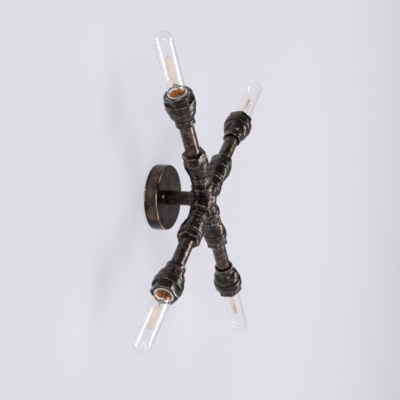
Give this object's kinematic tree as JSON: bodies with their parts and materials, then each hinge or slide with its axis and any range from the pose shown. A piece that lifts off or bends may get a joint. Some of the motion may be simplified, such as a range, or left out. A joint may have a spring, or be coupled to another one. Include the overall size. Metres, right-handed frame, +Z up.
{
  "type": "industrial pipe wall light",
  "caption": "Wall light built from iron pipe fittings: a round canopy and a stem carry a cross whose arms end in screw-in tubular bulbs.",
  "frame": {"origin": "centre of the canopy's back face, in the plane of the wall and midway between the strap's wall slots", "axes": "+Y into the wall, so that the lamp stands out toward -Y; +Z up the wall; +X to the right seen from the front"},
  "size_m": [0.5098, 0.122, 0.5098],
  "materials": {
    "aged_casting": "near-black aged bronze with brown and pale rub-through on raised edges",
    "aged_pipe": "satin dark brown bronze wash with copper mottling",
    "canopy_finish": "satin dark bronze, copper rub along the front edge",
    "screw_finish": "dark bronze",
    "zinc_plate": "zinc plated",
    "brass": "rolled brass",
    "porcelain": "glazed white porcelain",
    "base_insulator": "black vitrite",
    "clear_glass": "clear",
    "mount_glass": "clear",
    "filament_wire": "drawn wire",
    "terminal_plastic": "moulded",
    "lead_insulation": "matt sleeve"
  },
  "bodies": {
    "light_fitting": {"canopy": "canopy_finish", "mounting_strap": "zinc_plate", "canopy_screws": "screw_finish", "stem_pipe": "aged_pipe", "stem_locknut": "zinc_plate", "lock_washer": "zinc_plate", "cross": "aged_casting", "terminal_block": "terminal_plastic", "lead_wires": "lead_insulation", "centre_contacts": "brass", "screw_shells": "brass", "hex_nipple_upper_left": "aged_casting", "inner_reducer_upper_left": "aged_casting", "inner_bushing_upper_left": "aged_casting", "arm_pipe_upper_left": "aged_pipe", "outer_reducer_upper_left": "aged_casting", "socket_bushing_upper_left": "aged_casting", "lampholder_upper_left": "porcelain", "hex_nipple_upper_right": "aged_casting", "inner_reducer_upper_right": "aged_casting", "inner_bushing_upper_right": "aged_casting", "arm_pipe_upper_right": "aged_pipe", "outer_reducer_upper_right": "aged_casting", "socket_bushing_upper_right": "aged_casting", "lampholder_upper_right": "porcelain", "hex_nipple_lower_left": "aged_casting", "inner_reducer_lower_left": "aged_casting", "inner_bushing_lower_left": "aged_casting", "arm_pipe_lower_left": "aged_pipe", "outer_reducer_lower_left": "aged_casting", "socket_bushing_lower_left": "aged_casting", "lampholder_lower_left": "porcelain", "hex_nipple_lower_right": "aged_casting", "inner_reducer_lower_right": "aged_casting", "inner_bushing_lower_right": "aged_casting", "arm_pipe_lower_right": "aged_pipe", "outer_reducer_lower_right": "aged_casting", "socket_bushing_lower_right": "aged_casting", "lampholder_lower_right": "porcelain"},
    "bulb_base_upper_left": {"bulb_contact_upper_left": "base_insulator"},
    "bulb_upper_left": {"bulb_cap_upper_left": "brass", "bulb_glass_upper_left": "clear_glass", "bulb_mount_upper_left": "mount_glass", "bulb_filament_upper_left": "filament_wire"},
    "bulb_base_upper_right": {"bulb_contact_upper_right": "base_insulator"},
    "bulb_upper_right": {"bulb_cap_upper_right": "brass", "bulb_glass_upper_right": "clear_glass", "bulb_mount_upper_right": "mount_glass", "bulb_filament_upper_right": "filament_wire"},
    "bulb_base_lower_left": {"bulb_contact_lower_left": "base_insulator"},
    "bulb_lower_left": {"bulb_cap_lower_left": "brass", "bulb_glass_lower_left": "clear_glass", "bulb_mount_lower_left": "mount_glass", "bulb_filament_lower_left": "filament_wire"},
    "bulb_base_lower_right": {"bulb_contact_lower_right": "base_insulator"},
    "bulb_lower_right": {"bulb_cap_lower_right": "brass", "bulb_glass_lower_right": "clear_glass", "bulb_mount_lower_right": "mount_glass", "bulb_filament_lower_right": "filament_wire"}
  },
  "joints": [
    {"name": "bulb_advance_upper_left", "type": "slide", "parent": "light_fitting", "child": "bulb_base_upper_left", "axis": [-0.7071, 0, 0.7071], "range_m": [0, 0.02]},
    {"name": "bulb_turn_upper_left", "type": "hinge", "parent": "bulb_base_upper_left", "child": "bulb_upper_left", "pos_m": [0, -0.095, 0], "axis": [-0.7071, 0, 0.7071], "range_deg": [0, 1980]},
    {"name": "bulb_advance_upper_right", "type": "slide", "parent": "light_fitting", "child": "bulb_base_upper_right", "axis": [0.7071, 0, 0.7071], "range_m": [0, 0.02]},
    {"name": "bulb_turn_upper_right", "type": "hinge", "parent": "bulb_base_upper_right", "child": "bulb_upper_right", "pos_m": [0, -0.095, 0], "axis": [0.7071, 0, 0.7071], "range_deg": [0, 1980]},
    {"name": "bulb_advance_lower_left", "type": "slide", "parent": "light_fitting", "child": "bulb_base_lower_left", "axis": [-0.7071, 0, -0.7071], "range_m": [0, 0.02]},
    {"name": "bulb_turn_lower_left", "type": "hinge", "parent": "bulb_base_lower_left", "child": "bulb_lower_left", "pos_m": [0, -0.095, 0], "axis": [-0.7071, 0, -0.7071], "range_deg": [0, 1980]},
    {"name": "bulb_advance_lower_right", "type": "slide", "parent": "light_fitting", "child": "bulb_base_lower_right", "axis": [0.7071, 0, -0.7071], "range_m": [0, 0.02]},
    {"name": "bulb_turn_lower_right", "type": "hinge", "parent": "bulb_base_lower_right", "child": "bulb_lower_right", "pos_m": [0, -0.095, 0], "axis": [0.7071, 0, -0.7071], "range_deg": [0, 1980]}
  ],
  "couplings": [
    {"joint": "bulb_advance_upper_left", "follows": "bulb_turn_upper_left", "m_per_rad": 0.00057757},
    {"joint": "bulb_advance_upper_right", "follows": "bulb_turn_upper_right", "m_per_rad": 0.00057757},
    {"joint": "bulb_advance_lower_left", "follows": "bulb_turn_lower_left", "m_per_rad": 0.00057757},
    {"joint": "bulb_advance_lower_right", "follows": "bulb_turn_lower_right", "m_per_rad": 0.00057757}
  ]
}
